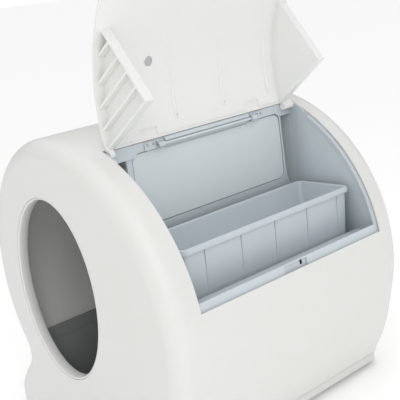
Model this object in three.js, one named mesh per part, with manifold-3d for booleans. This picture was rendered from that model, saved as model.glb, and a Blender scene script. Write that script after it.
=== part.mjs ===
// Hooded cat litter box: a drum-shaped hood with its axis fore and aft and a tall oval entry in
// its flat front, and a waste compartment with a curved lid in the hood's upper right side.
// Millimetres, +Z up. -Y is the entry side and +X the compartment side. The origin is on the
// floor, under the middle of the bounding box. The lid is open, as it stands on its stop.
// Every piece is drawn in drum coordinates, where Y is the drum's axis and y = 0 is the front
// edge of the compartment's opening, and one group carries them into place.
import * as THREE from 'three';
import { mergeVertices } from 'three/addons/utils/BufferGeometryUtils.js';
import Module from 'manifold-3d';

const wasm = await Module();
wasm.setup();

// ---- driving dimensions -------------------------------------------------------------------
const R = 260;                 // outer radius of the drum's right side and of the lid
const WALL = 3;                // hood and lid skin
const GAP = 0.3;               // clearance between touching pieces
const AXIS_HEIGHT = 208;       // drum axis above the floor
const FRONT_Y = -50.4;         // entry face
const BACK_Y = 421;            // back face
const OPENING_LENGTH = 376.4;  // compartment opening, along the axis
const EDGE_RADIUS = 28;        // rounding of the hood's front and back edges
const HOOD_BOTTOM = -182.7;
const ENTRY = { z: 41, a: 97.1, b: 139.1, depth: 16 };
const OPENING_LOW = 8.75;      // angles of the opening's edges, from +X towards +Z
const OPENING_HIGH = 68.2;
const LID_LOW = 9.1;
const LID_HIGH = 64.8;
const LID_OPEN = 127.5;        // degrees from closed to the stop
const LID_AXIS = { x: 103.8, z: 234.6 };
const DOOR_AXIS = { x: 101.4, z: 229.7 };

// outline centre of the whole box, so that the origin sits under its middle
const SKIRT_X = -177;
const ORIGIN = { x: -(R + SKIRT_X) / 2, y: -(FRONT_Y + BACK_Y) / 2, z: AXIS_HEIGHT };

const rad = THREE.MathUtils.degToRad;
const mirrored = (y) => OPENING_LENGTH - y;
const INSIDE = R - WALL;

// ---- materials ----------------------------------------------------------------------------
const plastic = (color, roughness) => new THREE.MeshStandardMaterial({ color, roughness, metalness: 0 });
const HOOD_WHITE = () => plastic(0xe9e9e5, 0.45);
const LINER_GREY = () => plastic(0xa9b4bb, 0.5);
const TRAY_GREY = () => plastic(0x4d5053, 0.55);
const RUBBER = () => plastic(0x2b2b2c, 0.9);
const STEEL = () => new THREE.MeshStandardMaterial({ color: 0xb4b9bd, roughness: 0.35, metalness: 0.9 });

// ---- solids: geometry to closed solid and back --------------------------------------------
function solid(geometry) {
  const bare = geometry.clone();
  for (const name of ['normal', 'uv']) bare.deleteAttribute(name);
  const merged = mergeVertices(bare, 1e-4);
  return new wasm.Manifold(new wasm.Mesh({
    numProp: 3,
    vertProperties: new Float32Array(merged.attributes.position.array),
    triVerts: new Uint32Array(merged.index.array),
  }));
}

function geometryOf(body) {
  const mesh = body.getMesh();
  const geometry = new THREE.BufferGeometry();
  geometry.setAttribute('position', new THREE.BufferAttribute(new Float32Array(mesh.vertProperties), 3));
  geometry.setIndex(new THREE.BufferAttribute(new Uint32Array(mesh.triVerts), 1));
  geometry.computeVertexNormals();
  return geometry;
}

const join = (first, ...rest) => rest.reduce((sum, body) => sum.add(body), first);
const cut = (first, ...rest) => rest.reduce((left, body) => left.subtract(body), first);

// box between two corners
function box(x0, y0, z0, x1, y1, z1) {
  const geometry = new THREE.BoxGeometry(x1 - x0, y1 - y0, z1 - z0);
  geometry.translate((x0 + x1) / 2, (y0 + y1) / 2, (z0 + z1) / 2);
  return solid(geometry);
}

// shape drawn in the (x, z) plane, run along Y from y0 to y1
function alongY(shape, y0, y1, bevel = {}) {
  const { thickness = 0, size = 0, offset = 0, segments = 5, curveSegments = 12 } = bevel;
  const geometry = new THREE.ExtrudeGeometry(shape, {
    depth: y1 - y0 - 2 * thickness, steps: 1, curveSegments,
    bevelEnabled: thickness > 0, bevelThickness: thickness, bevelSize: size, bevelOffset: offset,
    bevelSegments: segments,
  });
  geometry.rotateX(Math.PI / 2);
  geometry.translate(0, y1 - thickness, 0);
  return solid(geometry);
}

// shape drawn in the (x, y) plane, run up from z0 to z1
function alongZ(shape, z0, z1, bevel = {}) {
  const { thickness = 0, size = 0, offset = 0, segments = 3, curveSegments = 6 } = bevel;
  const geometry = new THREE.ExtrudeGeometry(shape, {
    depth: z1 - z0 - 2 * thickness, steps: 1, curveSegments,
    bevelEnabled: thickness > 0, bevelThickness: thickness, bevelSize: size, bevelOffset: offset,
    bevelSegments: segments,
  });
  geometry.translate(0, 0, z0 + thickness);
  return solid(geometry);
}

// round bar along Y
function rodY(x, z, radius, y0, y1, sides = 16) {
  const geometry = new THREE.CylinderGeometry(radius, radius, y1 - y0, sides);
  geometry.translate(x, (y0 + y1) / 2, z);
  return solid(geometry);
}

// round bar along X
function rodX(y, z, radius, x0, x1, sides = 14) {
  const geometry = new THREE.CylinderGeometry(radius, radius, x1 - x0, sides);
  geometry.rotateZ(Math.PI / 2);
  geometry.translate((x0 + x1) / 2, y, z);
  return solid(geometry);
}

// shape drawn in the (y, z) plane, run along X from x0 to x1
function alongX(shape, x0, x1) {
  const depth = x1 - x0;
  const geometry = new THREE.ExtrudeGeometry(shape, { depth, bevelEnabled: false, curveSegments: 5 });
  geometry.rotateX(Math.PI / 2);
  geometry.rotateZ(Math.PI / 2);
  geometry.translate(x0, 0, 0);
  return solid(geometry);
}

const at = (u, v) => new THREE.Vector2(u, v);
const onArc = (radius, degrees) => at(radius * Math.cos(rad(degrees)), radius * Math.sin(rad(degrees)));

const arcPoints = (radius, from, to, steps) =>
  Array.from({ length: steps + 1 }, (_, i) => onArc(radius, from + ((to - from) * i) / steps));

// ring sector in the (x, z) plane between two radii and two angles
function sectorShape(r0, r1, low, high, steps) {
  return new THREE.Shape([...arcPoints(r1, low, high, steps), ...arcPoints(r0, high, low, steps)]);
}

// rectangle with rounded corners in a plane
function roundedRectangle(u0, v0, u1, v1, r) {
  const shape = new THREE.Shape();
  shape.moveTo(u0 + r, v0);
  shape.lineTo(u1 - r, v0);
  shape.absarc(u1 - r, v0 + r, r, -Math.PI / 2, 0, false);
  shape.lineTo(u1, v1 - r);
  shape.absarc(u1 - r, v1 - r, r, 0, Math.PI / 2, false);
  shape.lineTo(u0 + r, v1);
  shape.absarc(u0 + r, v1 - r, r, Math.PI / 2, Math.PI, false);
  shape.lineTo(u0, v0 + r);
  shape.absarc(u0 + r, v0 + r, r, Math.PI, 1.5 * Math.PI, false);
  return shape;
}

function ellipseShape(z, a, b, sides) {
  const points = [];
  for (let i = 0; i < sides; i++) {
    const t = (2 * Math.PI * i) / sides;
    points.push(at(a * Math.cos(t), z + b * Math.sin(t)));
  }
  return new THREE.Shape(points);
}

// ---- hood ---------------------------------------------------------------------------------
// Cross-section of the hood: a circle on the compartment side, a narrower upright ellipse on the
// other side, and a skirt that flares out below it. It runs on below the hood's open bottom.
const SIDE_ELLIPSE = { z: 52, a: 166.4, b: 208, lowest: -78 };
const CIRCLE_LOW = -14;
const SKIRT = [[-131, -90], [-139, -106], [-158, -126], [-174, -150], [SKIRT_X, -178], [-176, -240]];
const RIGHT_SIDE = [[203, -240], [209, -184], [226, -150], [240, -113], [249, -76]];

function hoodSection() {
  const smooth = (list, count) => new THREE.SplineCurve(list.map(([x, z]) => at(x, z))).getPoints(count);
  const { z, a, b, lowest } = SIDE_ELLIPSE;
  const last = Math.PI + Math.asin((z - lowest) / b);
  const steps = 18;
  const side = Array.from({ length: steps }, (_, i) => {
    const t = Math.PI / 2 + ((last - Math.PI / 2) * (i + 1)) / steps;
    return at(a * Math.cos(t), z + b * Math.sin(t));
  });
  const feet = [...smooth(SKIRT, 9), ...smooth(RIGHT_SIDE, 6)];
  return new THREE.Shape([...arcPoints(R, CIRCLE_LOW, 90, 30), ...side, ...feet]);
}

function hoodShell() {
  const inset = (wall) => ({ thickness: EDGE_RADIUS - wall, size: EDGE_RADIUS - wall, offset: -EDGE_RADIUS });
  const outer = alongY(hoodSection(), FRONT_Y, BACK_Y, inset(0));
  const inner = alongY(hoodSection(), FRONT_Y + WALL, BACK_Y - WALL, inset(WALL));
  const entry = alongY(ellipseShape(ENTRY.z, ENTRY.a, ENTRY.b, 48), FRONT_Y - 5, FRONT_Y + 10);
  const opening = alongY(sectorShape(R * 0.9, R * 1.1, OPENING_LOW, OPENING_HIGH, 26), 0, OPENING_LENGTH);
  const below = box(-R, FRONT_Y - 5, -R, R, BACK_Y + 5, HOOD_BOTTOM);
  return cut(outer, inner, entry, opening, below);
}

function entryCollar() {
  const y0 = FRONT_Y + 1;
  const ring = (inset) => ellipseShape(ENTRY.z, ENTRY.a - inset, ENTRY.b - inset, 48);
  return cut(alongY(ring(GAP), y0, y0 + ENTRY.depth), alongY(ring(WALL + GAP), y0 - 1, y0 + ENTRY.depth + 1));
}

// ---- base, feet and litter tray -------------------------------------------------------------
const BASE = { x0: -174, x1: 206, y0: FRONT_Y + 3, y1: BACK_Y - 3, bottom: -201, ledge: -183, top: -160 };
const TRAY = { x0: -123.5, x1: 186, y0: -40, y1: 409, bottom: -195.6, rim: -61, entryRim: -109, step: -84 };
const FOOT = { radius: 15, height: 6.7, inset: 34 };

function baseTub() {
  const { x0, x1, y0, y1, bottom, ledge, top } = BASE;
  const plinth = alongZ(roundedRectangle(x0, y0, x1, y1, 26), bottom, ledge);
  const upstand = alongZ(roundedRectangle(x0 + 12, y0 + 2.5, x1 - 14, y1 - 2.5, 22), ledge - 1, top);
  const hollow = alongZ(roundedRectangle(x0 + 15, y0 + 5, x1 - 17, y1 - 5, 20), bottom + 5, top + 1);
  return cut(join(plinth, upstand), hollow);
}

function foot(x, y) {
  const geometry = new THREE.CylinderGeometry(FOOT.radius, FOOT.radius - 2, FOOT.height, 20);
  geometry.rotateX(Math.PI / 2);
  geometry.translate(x, y, -AXIS_HEIGHT + FOOT.height / 2);
  return solid(geometry);
}

function litterTray() {
  const { x0, x1, y0, y1, bottom, rim, entryRim, step } = TRAY;
  const plan = (inset, r) => roundedRectangle(x0 + inset, y0 + inset, x1 - inset, y1 - inset, r);
  const outer = alongZ(plan(0, 24), bottom, rim);
  const upper = alongZ(plan(3, 22), step, rim + 1);
  const lower = alongZ(plan(8, 24), bottom + 4, step + 20, { thickness: 20, size: 20, offset: -20 });
  const entrySide = box(x0 - 1, y0 - 1, entryRim, x1 + 1, y0 + 9, rim + 1);
  return cut(outer, upper, lower, entrySide);
}

// ---- compartment liner --------------------------------------------------------------------
const BACK_WALL = { x0: 92.2, x1: 96.2, bar: 98.2 };
const WELL = { floor: 10, ledge: 39.5, x1: 217, wall: 3 };
const DOOR_HOLE = { y0: 47, y1: 348, z0: 119.4, z1: 225.6, r: 14 };
const DOOR_WEB = [109.5, 276];  // stretch where the door's top reaches forward to its barrel
const SLOTS = { pairs: [[4.4, 37.7], [353.6, 372]], z0: 100, z1: 219.7 };
// raised lip under the lid's edge, along the ledge and up the rear end
const LIP = { r0: 252.8, r1: 255.8, low: 8.4, high: 11.6, end: 6.5, endHigh: 58 };
const LATCH = { y: 199.5, slot: [41.5, 50.2], recess: [163, 210], recessDepth: 1.4 };

function compartmentLiner() {
  const y0 = GAP, y1 = OPENING_LENGTH - GAP;
  const { x0, x1, bar } = BACK_WALL;
  const { floor, ledge, wall } = WELL;
  const backWall = box(x0, y0, floor, x1, y1, 232);
  const topBar = box(x0 - 8, y0, SLOTS.z1, bar, y1, 241);
  const floorPlate = box(x0, y0, floor, WELL.x1, y1, floor + wall);
  const frontWall = box(WELL.x1 - wall, y0, floor, WELL.x1, y1, ledge);
  const ledgePlate = box(WELL.x1 - wall, y0, ledge - wall, R, y1, ledge);
  const side = new THREE.Shape([at(x0, floor), at(WELL.x1, floor), at(WELL.x1, ledge - wall),
    at(R, ledge - wall), ...arcPoints(R, OPENING_LOW, 66, 24), at(x0, 238)]);
  const ends = [y0, y1 - wall].map((y) => alongY(side, y, y + wall));
  const round = alongY(ellipseShape(0, R - GAP, R - GAP, 144), y0 - 1, y1 + 1);
  const underSkin = [[OPENING_HIGH - 0.5, 80], [-12, OPENING_LOW + 0.1]].map(([low, high]) =>
    alongY(sectorShape(R - WALL - GAP, R + 9, low, high, 8), y0 - 1, y1 + 1));
  const hole = DOOR_HOLE;
  const doorHole = alongX(roundedRectangle(hole.y0, hole.z0, hole.y1, hole.z1, hole.r), x0 - 10, bar + 10);
  const channel = box(x1 - 1, DOOR_WEB[0] - 1, 222, bar + 10, DOOR_WEB[1] + 1, 229);
  const slots = SLOTS.pairs.map(([a, b]) => box(x0 - 1, a, SLOTS.z0, x1 + 1, b, SLOTS.z1));
  const [r0, r1] = LATCH.recess;
  const recess = alongY(sectorShape(LIP.r1 - LATCH.recessDepth, R, 8.6, LIP.high - 0.5, 6), r0, r1);
  const latchSlot = box(245, LATCH.y - 2.7, LATCH.slot[0], R, LATCH.y + 2.7, LATCH.slot[1]);
  const lips = [[y0, y1, LIP.high], [mirrored(LIP.end), y1, LIP.endHigh]]
    .map(([a, b, high]) => alongY(sectorShape(LIP.r0, LIP.r1, LIP.low, high, 20), a, b));
  const endTrims = [[252, 11.8, y0 - 1], [INSIDE - GAP, OPENING_LOW, y1 - wall - 0.1]]
    .map(([r, low, a]) => alongY(sectorShape(r, R + 1, low, 61, 24), a, a + wall + 1.1));
  const pinHoles = rodY(LID_AXIS.x, LID_AXIS.z, 2.2, y0 - 1, y1 + 1);
  const whole = join(backWall, topBar, floorPlate, frontWall, ledgePlate, ...ends, ...lips).intersect(round);
  return cut(whole, ...underSkin, ...endTrims, doorHole, channel, ...slots, recess, latchSlot, pinHoles);
}

// plate behind the latch slot, just clear of the lip
function latchPlate() {
  return box(245.3, LATCH.y - 9, WELL.ledge + GAP, 247.1, LATCH.y + 9, 51);
}

// ---- inner door and its hinge ---------------------------------------------------------------
const LEAF_Z = [225.5, 237];
const LEAVES = [{ y0: 70, y1: 104, knuckle: [92.5, 104] }, { y0: 280.5, y1: 307.5, knuckle: [280.5, 292] }];
const SCREWS = [75, 85.8, 295.5, 303.5];
const SCREW_Z = 233;
const KNUCKLE_RADIUS = 4.3;
const ROD_RADIUS = 1;
const BARREL = { radius: 2.1, y0: LEAVES[0].y1 + 0.6, y1: LEAVES[1].y0 - 0.6 };
const BORE_RADIUS = ROD_RADIUS + GAP;
const DOOR = {
  x0: BACK_WALL.x0 + 0.4, x1: BACK_WALL.x1 - 0.6, y0: 48.2, y1: 346.8, z0: 120.6, z1: 224, r: 13,
};

const hingeBore = () => rodY(DOOR_AXIS.x, DOOR_AXIS.z, BORE_RADIUS, LEAVES[0].y0, LEAVES[1].y1);

// screwed plate with a knuckle round the door's axis
function hingeLeaf({ y0, y1, knuckle }) {
  const face = BACK_WALL.bar + GAP;
  const plate = box(face, y0, LEAF_Z[0], face + 1.2, y1, LEAF_Z[1]);
  const barrel = rodY(DOOR_AXIS.x, DOOR_AXIS.z, KNUCKLE_RADIUS, ...knuckle, 24)
    .intersect(box(face, y0, 220, face + 12, y1, 240));
  return cut(join(plate, barrel), hingeBore());
}

// sheet hung from a barrel that stands forward of it, on a slanting web
function innerDoor() {
  const { x0, x1 } = DOOR;
  const sheet = alongX(roundedRectangle(DOOR.y0, DOOR.z0, DOOR.y1, DOOR.z1, DOOR.r), x0, x1);
  const web = new THREE.Shape([at(x0 + 0.8, DOOR.z1 - 5), at(x1, 222), at(103, 228.35),
    at(DOOR_AXIS.x, DOOR_AXIS.z), at(94.3, 223.6), at(x0 + 0.8, 223.6)]);
  const barrel = rodY(DOOR_AXIS.x, DOOR_AXIS.z, BARREL.radius, BARREL.y0, BARREL.y1, 18);
  return cut(join(sheet, alongY(web, ...DOOR_WEB), barrel), hingeBore());
}

const doorRod = () => rodY(DOOR_AXIS.x, DOOR_AXIS.z, ROD_RADIUS, LEAVES[0].y1 - 9, LEAVES[1].y0 + 9, 18);

// half-round moulding along the bar, over the door's barrel
function hingeMoulding() {
  const face = BACK_WALL.bar + GAP;
  const round = rodY(face, 235.5, 3.3, BARREL.y0 + 2, BARREL.y1 - 2, 24);
  return round.intersect(box(face, 0, 220, face + 9, OPENING_LENGTH, 250));
}

// ---- waste bin ----------------------------------------------------------------------------
const BIN = { x0: 114, x1: 211.4, y0: 20, y1: 361.5, bottom: 13.4, top: 111.5, draft: 4, wall: 2.5, rim: 4 };
const BIN_GROOVES = { y: [58, 127, 195.5, 265, 334.8], depth: 1.7, low: 42, wide: 2.1, narrow: 0.45 };

// rounded box whose foot is smaller than its top all round
function drafted(x0, y0, x1, y1, r, z0, z1, draft) {
  const geometry = new THREE.ExtrudeGeometry(roundedRectangle(x0, y0, x1, y1, r),
    { depth: z1 - z0, bevelEnabled: false, curveSegments: 6 });
  const position = geometry.attributes.position;
  const middle = at((x0 + x1) / 2, (y0 + y1) / 2);
  for (let i = 0; i < position.count; i++) {
    const share = draft * (1 - position.getZ(i) / (z1 - z0));
    position.setX(i, middle.x + (position.getX(i) - middle.x) * (1 - share / (x1 - middle.x)));
    position.setY(i, middle.y + (position.getY(i) - middle.y) * (1 - share / (y1 - middle.y)));
  }
  geometry.translate(0, 0, z0);
  return solid(geometry);
}

// groove down the bin's front that narrows downwards and leans with the drafted wall
function binGroove(y) {
  const { x1, bottom, top, draft } = BIN;
  const { depth, low, wide, narrow } = BIN_GROOVES;
  const high = top - 7.4;
  const lean = draft / (top - 1 - bottom);
  const outline = new THREE.Shape([
    at(y - wide, high), at(y - narrow, low), at(y + narrow, low), at(y + wide, high)]);
  const geometry = new THREE.ExtrudeGeometry(outline, { depth: 5, bevelEnabled: false });
  geometry.rotateX(Math.PI / 2);
  geometry.rotateZ(Math.PI / 2);
  geometry.applyMatrix4(new THREE.Matrix4().set(
    1, 0, lean, x1 - depth - lean * (top - 1), 0, 1, 0, 0, 0, 0, 1, 0, 0, 0, 0, 1));
  return solid(geometry);
}

function wasteBin() {
  const { x0, x1, y0, y1, bottom, top, draft, wall, rim } = BIN;
  const outer = drafted(x0, y0, x1, y1, 14, bottom, top - 1, draft);
  const rolled = alongZ(roundedRectangle(x0 - rim, y0 - rim, x1 + rim, y1 + rim, 18), top - 7, top,
    { thickness: 2, size: 2, offset: -2 });
  const hollow = drafted(x0 + wall, y0 + wall, x1 - wall, y1 - wall, 12, bottom + wall, top + 1, draft);
  return cut(join(outer, rolled), hollow, ...BIN_GROOVES.y.map(binGroove));
}

// ---- lid, drawn closed ----------------------------------------------------------------------
const LID_Y = [3.9, 372.5];
const FLANGE = {
  x: 110, z: 122.5, strip: 3, outer: 14.2, wall: [24.8, 27.8], ribs: [134, 158, 182, 206],
};
const LUG = { radius: 5.2, y0: 4.6 };
const LID_RIBS = [134, 230, 325];
const LID_POCKETS = [[62, 94], [273, 299]];
const MAGNET = { angle: 40.9, y: 96, radius: 6.5 };


// disc whose axis runs along the lid's radius at an angle
function radialDisc(angle, y, radius, r0, r1) {
  const geometry = new THREE.CylinderGeometry(radius, radius, r1 - r0, 24);
  geometry.rotateZ(-Math.PI / 2);
  geometry.translate((r0 + r1) / 2, 0, 0);
  geometry.rotateY(-rad(angle));
  geometry.translate(0, y, 0);
  return solid(geometry);
}

// boxed flange: a wall set in from the lid's end, a strip round its two straight edges, and webs
function lidFlange(flip) {
  const span = (a, b) => (flip ? [mirrored(b), mirrored(a)] : [a, b]);
  const { x, z, strip, outer, wall, ribs } = FLANGE;
  const reach = INSIDE + 1;
  const low = THREE.MathUtils.radToDeg(Math.asin(z / reach));
  const high = THREE.MathUtils.radToDeg(Math.acos(x / reach));
  const plan = new THREE.Shape([at(x, z), ...arcPoints(reach, low, high, 16)]);
  const core = new THREE.Shape([at(x + strip, z + strip), at(R, z + strip), at(R, R), at(x + strip, R)]);
  const [w0, w1] = span(...wall);
  const [o0, o1] = span(outer, wall[0] + 1);
  const frame = alongY(plan, o0, o1).subtract(alongY(core, o0 - 1, o1 + 1));
  const webs = ribs.map((rx) => {
    const top = Math.sqrt(reach * reach - (rx + 2) * (rx + 2));
    return box(rx, o0, z + 1, rx + 2, o1, top);
  });
  return [alongY(plan, w0, w1), frame, ...webs];
}

// lug round the lid's pin at one end, with a neck that runs into the skin
function lidLug(flip) {
  const [y0, y1] = flip ? [mirrored(FLANGE.wall[0] + 1), mirrored(LUG.y0)] : [LUG.y0, FLANGE.wall[0] + 1];
  const neck = new THREE.Shape([at(LID_AXIS.x, LID_AXIS.z - LUG.radius), at(114, 229.5), at(114, 231),
    at(109.2, 235.2), at(104.5, 238.1)]);
  return join(rodY(LID_AXIS.x, LID_AXIS.z, LUG.radius, y0, y1, 24), alongY(neck, y0, y1));
}

function lidShell() {
  const skin = alongY(sectorShape(INSIDE, R, LID_LOW, LID_HIGH, 26), ...LID_Y);
  const stiffeners = LID_RIBS.flatMap((y) => [
    alongY(sectorShape(INSIDE - 2.4, INSIDE + 0.5, 37, 60, 8), y - 1.6, y + 1.6),
    radialDisc(60, y, 3, INSIDE - 3.2, INSIDE + 0.5)]);
  const pockets = LID_POCKETS.map(([a, b]) => alongY(sectorShape(INSIDE - 1, INSIDE + 1, 60.8, 66, 3), a, b));
  const seat = radialDisc(MAGNET.angle, MAGNET.y, MAGNET.radius + GAP, INSIDE - 1, INSIDE + 1.2);
  const ends = [false, true].flatMap((flip) => [...lidFlange(flip), lidLug(flip)]);
  return cut(join(skin, ...ends, ...stiffeners), ...pockets, seat,
    ...[[0, 14], [mirrored(14), mirrored(0)]].map(([a, b]) => rodY(LID_AXIS.x, LID_AXIS.z, 2.2, a, b)));
}

const lidMagnet = () => radialDisc(MAGNET.angle, MAGNET.y, MAGNET.radius, INSIDE - 0.6, INSIDE + 0.9);

// tongue on the lid's inside that goes through the slot in the lip
function latchHook() {
  const { y } = LATCH;
  const within = alongY(ellipseShape(0, INSIDE - GAP, INSIDE - GAP, 120), y - 9, y + 9);
  return box(247.8, y - 1.8, 42.5, R, y + 1.8, 45).intersect(within);
}

const lidPin = (y0, y1) => rodY(LID_AXIS.x, LID_AXIS.z, 1.9, y0, y1, 18);

// ---- assembly -------------------------------------------------------------------------------
function piece(name, body, material) {
  const mesh = new THREE.Mesh(geometryOf(body), material);
  mesh.name = name;
  return mesh;
}

const part = new THREE.Group();
part.position.set(ORIGIN.x, ORIGIN.y, ORIGIN.z);

const footX = [BASE.x0 + FOOT.inset, BASE.x1 - FOOT.inset];
const footY = [BASE.y0 + FOOT.inset, BASE.y1 - FOOT.inset];
part.add(
  piece('base_tub', baseTub(), HOOD_WHITE()),
  piece('foot_front_left', foot(footX[0], footY[0]), RUBBER()),
  piece('foot_front_right', foot(footX[1], footY[0]), RUBBER()),
  piece('foot_rear_left', foot(footX[0], footY[1]), RUBBER()),
  piece('foot_rear_right', foot(footX[1], footY[1]), RUBBER()),
  piece('litter_tray', litterTray(), TRAY_GREY()),
  piece('hood_shell', hoodShell(), HOOD_WHITE()),
  piece('entry_collar', entryCollar(), HOOD_WHITE()),
  piece('compartment_liner', compartmentLiner(), LINER_GREY()),
  piece('latch_plate', latchPlate(), RUBBER()),
  piece('hinge_moulding', hingeMoulding(), LINER_GREY()),
  piece('door_rod', doorRod(), STEEL()),
  piece('inner_door', innerDoor(), LINER_GREY()),
  piece('waste_bin', wasteBin(), LINER_GREY()),
);
['left', 'right'].forEach((side, i) => {
  part.add(piece(`hinge_leaf_${side}`, hingeLeaf(LEAVES[i]), LINER_GREY()));
});
SCREWS.forEach((y, i) => {
  const face = BACK_WALL.bar + 1.2 + 2 * GAP;
  part.add(piece(`leaf_screw_${i + 1}`, rodX(y, SCREW_Z, 2, face, face + 0.9), STEEL()));
});

// the lid turns about its pins, so its group stands at the pins' axis
const hinge = new THREE.Group();
hinge.position.set(LID_AXIS.x, 0, LID_AXIS.z);
hinge.rotation.y = -rad(LID_OPEN);
const lid = new THREE.Group();
lid.position.set(-LID_AXIS.x, 0, -LID_AXIS.z);
hinge.add(lid);
part.add(hinge);
lid.add(
  piece('lid_shell', lidShell(), HOOD_WHITE()),
  piece('lid_magnet', lidMagnet(), STEEL()),
  piece('lid_latch_hook', latchHook(), HOOD_WHITE()),
  piece('lid_pin_front', lidPin(0.8, 13.7), STEEL()),
  piece('lid_pin_rear', lidPin(mirrored(13.7), mirrored(0.8)), STEEL()),
);

export default part;
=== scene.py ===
# Hooded cat litter box: the looks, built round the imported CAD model.
# Shapes are drawn in drum coordinates: millimetres, with Y along the drum's axis, y = 0 at the
# front edge of the compartment's opening, and x = z = 0 on the axis. PLACE takes them to the
# frame. The lid is drawn closed, and LID_PLACE turns it to its open rest position as well.
from math import asin, atan2, cos, degrees, hypot, pi, radians, sin, sqrt

import bmesh
import bpy
from mathutils import Matrix, Vector


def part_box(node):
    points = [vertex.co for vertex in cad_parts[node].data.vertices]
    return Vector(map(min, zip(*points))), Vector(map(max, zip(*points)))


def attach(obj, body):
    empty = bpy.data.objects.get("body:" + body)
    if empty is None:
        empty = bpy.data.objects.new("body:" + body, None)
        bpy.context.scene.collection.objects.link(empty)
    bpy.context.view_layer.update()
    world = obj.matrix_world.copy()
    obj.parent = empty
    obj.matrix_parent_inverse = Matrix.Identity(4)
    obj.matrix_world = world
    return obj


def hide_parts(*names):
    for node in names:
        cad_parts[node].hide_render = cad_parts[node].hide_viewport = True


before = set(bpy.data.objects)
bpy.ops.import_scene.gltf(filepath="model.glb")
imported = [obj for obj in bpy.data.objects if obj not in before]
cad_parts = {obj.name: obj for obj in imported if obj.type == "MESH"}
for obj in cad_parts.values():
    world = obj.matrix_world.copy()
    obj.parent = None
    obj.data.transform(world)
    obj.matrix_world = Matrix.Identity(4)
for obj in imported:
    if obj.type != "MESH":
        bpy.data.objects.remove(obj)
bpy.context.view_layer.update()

# ---- driving dimensions, in mm and degrees -----------------------------------------------------
R = 260.0                          # outer radius of the drum's right side and of the lid
WALL = 3.0                         # hood and lid skin
GAP = 0.3                          # clearance between neighbours
FRONT, BACK = -50.4, 421.0         # the hood's two flat faces
LENGTH = 376.4                     # compartment opening, along the axis
EDGE = 28.0                        # rounding of the hood's front and back edges
HOOD_BOTTOM = -182.7
OPENING = (8.75, 68.2)             # edges of the compartment's opening, from +X towards +Z
LID_ANGLES = (9.1, 64.8)
LID_Y = (3.9, 372.5)
LID_AXIS = (103.8, 234.6)
LID_OPEN = 127.5                   # from closed to rest
DOOR_AXIS = (101.4, 229.7)
ENTRY = {"z": 41.0, "a": 97.1, "b": 139.1}   # oval: height of its middle, half width, half height
PIN, PIN_BORE = 1.9, 2.2           # radii of the lid's pins and of the holes that they turn in
ROD, ROD_BORE = 1.0, 1.3           # radii of the door's rod and of the hole round it
WEB_Y = (109.5, 276)               # stretch where the door's top reaches forward to its barrel
INSIDE = R - WALL

hood_low, hood_high = (corner * 1000 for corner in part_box("hood_shell"))
ORIGIN = Vector((hood_high.x - R, hood_low.y - FRONT, hood_high.z - R))
PLACE = Matrix.Scale(0.001, 4) @ Matrix.Translation(ORIGIN)
AXIS = Vector((LID_AXIS[0], 0, LID_AXIS[1]))
LID_PLACE = (PLACE @ Matrix.Translation(AXIS) @ Matrix.Rotation(radians(-LID_OPEN), 4, "Y")
             @ Matrix.Translation(-AXIS))


def in_scene(name, data):
    """New object for the data, linked to the scene."""
    made = bpy.data.objects.new(name, data)
    bpy.context.scene.collection.objects.link(made)
    return made


# ---- camera ------------------------------------------------------------------------------------
CAMERA = {"azimuth": 49.03, "elevation": 15.17, "roll": -7.46}
CAMERA_SPOT = (4.031, -2.531, 1.727)         # from the drum's axis, in drum radii
LENS = 78.37
SHIFT = (-0.0145, 0.034)
FARTHEST = 400                               # metres


def make_camera():
    azimuth, elevation, roll = (radians(CAMERA[turn]) for turn in ("azimuth", "elevation", "roll"))
    back = Vector((sin(azimuth) * cos(elevation), -cos(azimuth) * cos(elevation), sin(elevation)))
    right = Vector((cos(azimuth), sin(azimuth), 0))
    up = back.cross(right)
    turned_right = cos(roll) * right + sin(roll) * up
    turned_up = cos(roll) * up - sin(roll) * right
    data = bpy.data.cameras.new("camera")
    data.lens, data.sensor_width = LENS, 36
    data.shift_x, data.shift_y = SHIFT
    data.clip_end = FARTHEST
    camera = in_scene("camera", data)
    turn = Matrix((turned_right, turned_up, back)).transposed().to_4x4()
    camera.matrix_world = Matrix.Translation(PLACE @ (Vector(CAMERA_SPOT) * R)) @ turn
    bpy.context.scene.camera = camera


make_camera()


# ---- materials ---------------------------------------------------------------------------------
EDGE_WIDTH = 0.0012                # metres: rounding that counts as a worn edge
EDGE_COLOUR = (0.75, 0.75, 0.75, 1)
FLOAT_A, FLOAT_B, COLOUR_A, COLOUR_B = 2, 3, 6, 7    # sockets of a Mix node


def node(tree, kind, **values):
    """New shader node; each value sets a property of the node or else a socket's default."""
    made = tree.nodes.new("ShaderNode" + kind)
    for name, value in values.items():
        if name in made.bl_rna.properties:
            setattr(made, name, value)
        else:
            made.inputs[name.replace("_", " ")].default_value = value
    return made


def edge_mask(tree):
    """1 on edges whose rounding is about EDGE_WIDTH wide, 0 on open surfaces."""
    soft = node(tree, "Bevel", samples=4, Radius=EDGE_WIDTH)
    plain = node(tree, "NewGeometry")
    dot = node(tree, "VectorMath", operation="DOT_PRODUCT")
    tree.links.new(soft.outputs[0], dot.inputs[0])
    tree.links.new(plain.outputs["Normal"], dot.inputs[1])
    span = node(tree, "MapRange", interpolation_type="SMOOTHSTEP", From_Min=0.995, From_Max=0.90)
    tree.links.new(dot.outputs["Value"], span.inputs["Value"])
    return span.outputs["Result"]


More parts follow.
